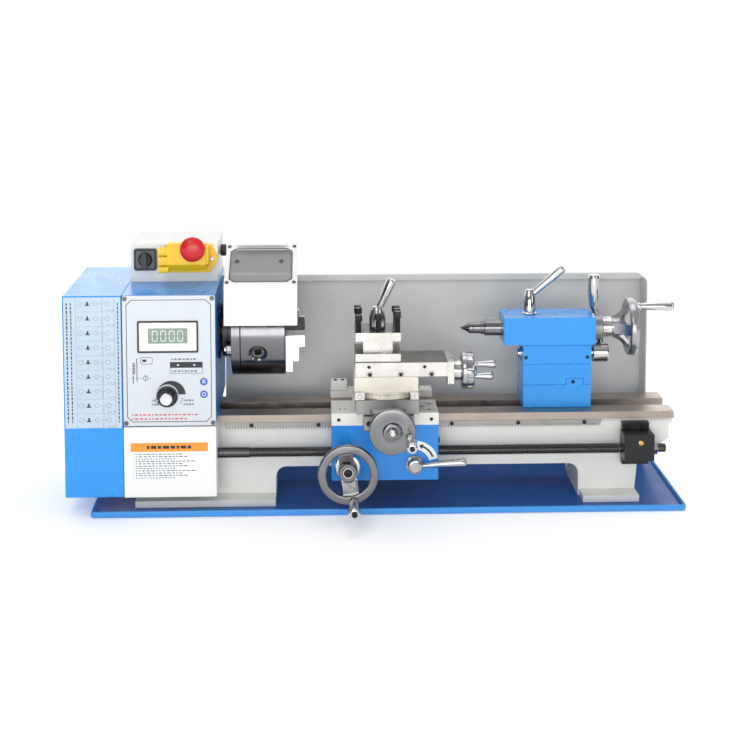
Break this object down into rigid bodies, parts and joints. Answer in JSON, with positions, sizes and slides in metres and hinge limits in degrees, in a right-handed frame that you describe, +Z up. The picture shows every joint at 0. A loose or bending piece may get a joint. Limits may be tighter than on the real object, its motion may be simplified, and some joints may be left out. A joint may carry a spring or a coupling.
{
  "type": "metal lathe",
  "caption": "Bench metal lathe on a chip tray: headstock with scroll chuck and guard, carriage with compound slide, tool post and tailstock; slides, screws and guards move.",
  "frame": {"origin": "on the underside of the chip tray, under the spindle axis and midway along the tray", "axes": "+X along the bed towards the tailstock, +Y away from the operator, +Z up"},
  "size_m": [0.8533, 0.3463, 0.3754],
  "materials": {
    "tray_paint": "satin",
    "blue_paint": "gloss",
    "grey_paint": "satin",
    "cream_paint": "satin",
    "white_paint": "satin",
    "black_plastic": "satin",
    "yellow_plastic": "satin",
    "red_plastic": "gloss",
    "ground_steel": "ground",
    "chrome": "polished",
    "cast_iron": "machined",
    "black_steel": "blackened",
    "panel": "printed satin",
    "clear_plastic": "clear",
    "brass": "satin",
    "belt_rubber": "matte"
  },
  "bodies": {
    "frame": {"chip_tray": "tray_paint", "splash_guard": "grey_paint", "bed_casting": "grey_paint", "gear_rack": "ground_steel", "leadscrew_bracket": "black_steel", "headstock_casting": "blue_paint", "rear_bearing": "chrome", "front_bearing": "chrome", "control_panel": "panel", "front_cover": "cream_paint", "switch_box": "white_paint", "switch_housing": "yellow_plastic", "drive_motor": "black_steel", "drive_belt": "belt_rubber"},
    "spindle": {"spindle": "ground_steel", "spindle_pulley": "cast_iron", "spindle_gear": "ground_steel", "chuck_backplate": "ground_steel", "chuck_body": "ground_steel"},
    "scroll": {"chuck_scroll": "ground_steel"},
    "jaw_1": {"chuck_jaw_1": "ground_steel"},
    "jaw_2": {"chuck_jaw_2": "ground_steel"},
    "jaw_3": {"chuck_jaw_3": "ground_steel"},
    "motor_shaft": {"motor_pulley": "cast_iron"},
    "idler": {"idler_gear": "ground_steel"},
    "leadscrew": {"leadscrew": "ground_steel", "leadscrew_gear": "ground_steel"},
    "gear_cover": {"gear_cover": "blue_paint"},
    "guard": {"chuck_guard": "white_paint", "guard_arm": "cast_iron"},
    "speed_knob": {"speed_knob": "black_plastic"},
    "selector_knob": {"selector_knob": "black_plastic"},
    "switch_lid": {"switch_lid": "yellow_plastic"},
    "stop_button": {"stop_button": "red_plastic"},
    "carriage": {"saddle": "grey_paint", "apron": "blue_paint", "cross_feed_bracket": "cast_iron"},
    "apron_wheel": {"apron_handwheel": "chrome"},
    "apron_grip": {"apron_handle": "chrome"},
    "halfnut_lever": {"halfnut_lever": "chrome"},
    "half_nut_upper": {"half_nut_upper": "cast_iron"},
    "half_nut_lower": {"half_nut_lower": "cast_iron"},
    "cross_slide": {"cross_slide": "cast_iron"},
    "cross_screw": {"cross_handwheel": "chrome"},
    "cross_grip": {"cross_handle": "chrome"},
    "compound": {"compound_base": "cream_paint"},
    "top_slide": {"top_slide": "ground_steel", "top_slide_bracket": "cast_iron"},
    "top_screw": {"top_slide_handwheel": "chrome"},
    "tool_post": {"tool_post": "ground_steel"},
    "tool_post_lever": {"tool_post_lever": "chrome"},
    "tailstock": {"tailstock_base": "blue_paint", "tailstock_body": "blue_paint"},
    "quill": {"quill": "ground_steel"},
    "live_centre": {"live_centre": "ground_steel"},
    "tailstock_screw": {"tailstock_handwheel": "chrome"},
    "tailstock_grip": {"tailstock_handle": "chrome"},
    "quill_lock": {"quill_lock_lever": "chrome"},
    "clamp_lever": {"clamp_lever": "chrome"},
    "clamp_plate": {"clamp_plate": "cast_iron"}
  },
  "joints": [
    {"name": "spindle_spin", "type": "hinge", "parent": "frame", "child": "spindle", "pos_m": [-0.33, 0, 0.235], "axis": [1, 0, 0], "continuous": true},
    {"name": "scroll_turn", "type": "hinge", "parent": "spindle", "child": "scroll", "pos_m": [-0.18, 0, 0.235], "axis": [1, 0, 0], "range_deg": [-200, 960]},
    {"name": "jaw_1_slide", "type": "slide", "parent": "spindle", "child": "jaw_1", "axis": [0, -0.1736, -0.9848], "range_m": [-0.0044, 0.0205]},
    {"name": "jaw_2_slide", "type": "slide", "parent": "spindle", "child": "jaw_2", "axis": [0, 0.9397, 0.342], "range_m": [-0.0044, 0.0205]},
    {"name": "jaw_3_slide", "type": "slide", "parent": "spindle", "child": "jaw_3", "axis": [0, -0.766, 0.6428], "range_m": [-0.0044, 0.0205]},
    {"name": "motor_spin", "type": "hinge", "parent": "frame", "child": "motor_shaft", "pos_m": [-0.39, 0.09, 0.072], "axis": [1, 0, 0], "continuous": true},
    {"name": "idler_spin", "type": "hinge", "parent": "frame", "child": "idler", "pos_m": [-0.38, -0.0103, 0.1456], "axis": [1, 0, 0], "continuous": true},
    {"name": "leadscrew_spin", "type": "hinge", "parent": "frame", "child": "leadscrew", "pos_m": [0, -0.068, 0.0765], "axis": [1, 0, 0], "continuous": true},
    {"name": "gear_cover_hinge", "type": "hinge", "parent": "frame", "child": "gear_cover", "pos_m": [-0.364, 0.129, 0.164], "axis": [0, 0, -1], "range_deg": [0, 100]},
    {"name": "guard_hinge", "type": "hinge", "parent": "frame", "child": "guard", "pos_m": [-0.178, 0.03, 0.345], "axis": [-1, 0, 0], "range_deg": [0, 95]},
    {"name": "speed_knob_turn", "type": "hinge", "parent": "frame", "child": "speed_knob", "pos_m": [-0.304, -0.099, 0.165], "axis": [0, 1, 0], "range_deg": [0, 280]},
    {"name": "selector_turn", "type": "hinge", "parent": "frame", "child": "selector_knob", "pos_m": [-0.342, 0, 0.337], "axis": [0, 1, 0], "range_deg": [-60, 60]},
    {"name": "switch_lid_hinge", "type": "hinge", "parent": "frame", "child": "switch_lid", "pos_m": [-0.3174, -0.024, 0.3395], "axis": [0, 0, -1], "range_deg": [0, 100]},
    {"name": "stop_press", "type": "slide", "parent": "switch_lid", "child": "stop_button", "axis": [0, 1, 0], "range_m": [0, 0.0028], "stiffness_N_per_m": 600},
    {"name": "carriage_slide", "type": "slide", "parent": "frame", "child": "carriage", "axis": [1, 0, 0], "range_m": [-0.065, 0.035]},
    {"name": "apron_wheel_turn", "type": "hinge", "parent": "carriage", "child": "apron_wheel", "pos_m": [-0.0586, -0.13, 0.065], "axis": [0, 1, 0], "range_deg": [-936, 504]},
    {"name": "apron_grip_spin", "type": "hinge", "parent": "apron_wheel", "child": "apron_grip", "pos_m": [-0.0515, -0.1413, 0.03], "axis": [0, 1, 0], "continuous": true},
    {"name": "halfnut_lever_turn", "type": "hinge", "parent": "carriage", "child": "halfnut_lever", "pos_m": [0.0347, -0.09, 0.062], "axis": [0, 1, 0], "range_deg": [0, 35]},
    {"name": "half_nut_upper_slide", "type": "slide", "parent": "carriage", "child": "half_nut_upper", "axis": [0, 0, -1], "range_m": [0, 0.0045]},
    {"name": "half_nut_lower_slide", "type": "slide", "parent": "carriage", "child": "half_nut_lower", "axis": [0, 0, 1], "range_m": [0, 0.0045]},
    {"name": "cross_screw_turn", "type": "hinge", "parent": "carriage", "child": "cross_screw", "pos_m": [0, -0.158, 0.1293], "axis": [0, 1, 0], "range_deg": [-5418, 9018]},
    {"name": "cross_slide_travel", "type": "slide", "parent": "carriage", "child": "cross_slide", "axis": [0, 1, 0], "range_m": [-0.03, 0.05]},
    {"name": "cross_grip_spin", "type": "hinge", "parent": "cross_screw", "child": "cross_grip", "pos_m": [0.023, -0.1623, 0.1223], "axis": [0, 1, 0], "continuous": true},
    {"name": "compound_swivel", "type": "hinge", "parent": "cross_slide", "child": "compound", "pos_m": [-0.0045, -0.048, 0.17], "axis": [0, 0, 1], "range_deg": [-45, 45]},
    {"name": "top_screw_turn", "type": "hinge", "parent": "top_slide", "child": "top_screw", "pos_m": [0.11, -0.048, 0.185], "axis": [-1, 0, 0], "range_deg": [-1818, 7218]},
    {"name": "top_slide_travel", "type": "slide", "parent": "compound", "child": "top_slide", "axis": [-1, 0, 0], "range_m": [-0.01, 0.04]},
    {"name": "tool_post_turn", "type": "hinge", "parent": "top_slide", "child": "tool_post", "pos_m": [-0.0158, -0.048, 0.225], "axis": [0, 0, 1], "range_deg": [-90, 180]},
    {"name": "tool_post_lever_turn", "type": "hinge", "parent": "tool_post", "child": "tool_post_lever", "pos_m": [-0.0158, -0.048, 0.26], "axis": [0, 0, 1], "range_deg": [-60, 60]},
    {"name": "tailstock_slide", "type": "slide", "parent": "frame", "child": "tailstock", "axis": [1, 0, 0], "range_m": [-0.035, 0.1]},
    {"name": "tailstock_screw_turn", "type": "hinge", "parent": "tailstock", "child": "tailstock_screw", "pos_m": [0.34, 0, 0.235], "axis": [-1, 0, 0], "range_deg": [-18, 10818]},
    {"name": "quill_travel", "type": "slide", "parent": "tailstock", "child": "quill", "axis": [-1, 0, 0], "range_m": [0, 0.06]},
    {"name": "live_centre_spin", "type": "hinge", "parent": "quill", "child": "live_centre", "pos_m": [0.12, 0, 0.235], "axis": [1, 0, 0], "continuous": true},
    {"name": "tailstock_grip_spin", "type": "hinge", "parent": "tailstock_screw", "child": "tailstock_grip", "pos_m": [0.3563, -0.014, 0.267], "axis": [1, 0, 0], "continuous": true},
    {"name": "quill_lock_turn", "type": "hinge", "parent": "tailstock", "child": "quill_lock", "pos_m": [0.2041, 0, 0.27], "axis": [0, 0, 1], "range_deg": [-40, 40]},
    {"name": "clamp_lever_turn", "type": "hinge", "parent": "tailstock", "child": "clamp_lever", "pos_m": [0.3, 0, 0.198], "axis": [-1, 0, 0], "range_deg": [0, 60]},
    {"name": "clamp_plate_drop", "type": "slide", "parent": "tailstock", "child": "clamp_plate", "axis": [0, 0, -1], "range_m": [0, 0.0021]}
  ],
  "couplings": [
    {"joint": "jaw_1_slide", "follows": "scroll_turn", "m_per_rad": 0.0011937},
    {"joint": "jaw_2_slide", "follows": "scroll_turn", "m_per_rad": 0.0011937},
    {"joint": "jaw_3_slide", "follows": "scroll_turn", "m_per_rad": 0.0011937},
    {"joint": "motor_spin", "follows": "spindle_spin", "ratio": 2},
    {"joint": "idler_spin", "follows": "spindle_spin", "ratio": -0.36364},
    {"joint": "leadscrew_spin", "follows": "spindle_spin", "ratio": 1},
    {"joint": "apron_wheel_turn", "follows": "carriage_slide", "rad_per_m": 251.33},
    {"joint": "half_nut_upper_slide", "follows": "halfnut_lever_turn", "m_per_rad": 0.0072},
    {"joint": "half_nut_lower_slide", "follows": "halfnut_lever_turn", "m_per_rad": 0.0072},
    {"joint": "cross_screw_turn", "follows": "cross_slide_travel", "rad_per_m": 3141.6},
    {"joint": "top_screw_turn", "follows": "top_slide_travel", "rad_per_m": 3141.6},
    {"joint": "tailstock_screw_turn", "follows": "quill_travel", "rad_per_m": 3141.6},
    {"joint": "clamp_plate_drop", "follows": "clamp_lever_turn", "m_per_rad": 0.0019}
  ]
}
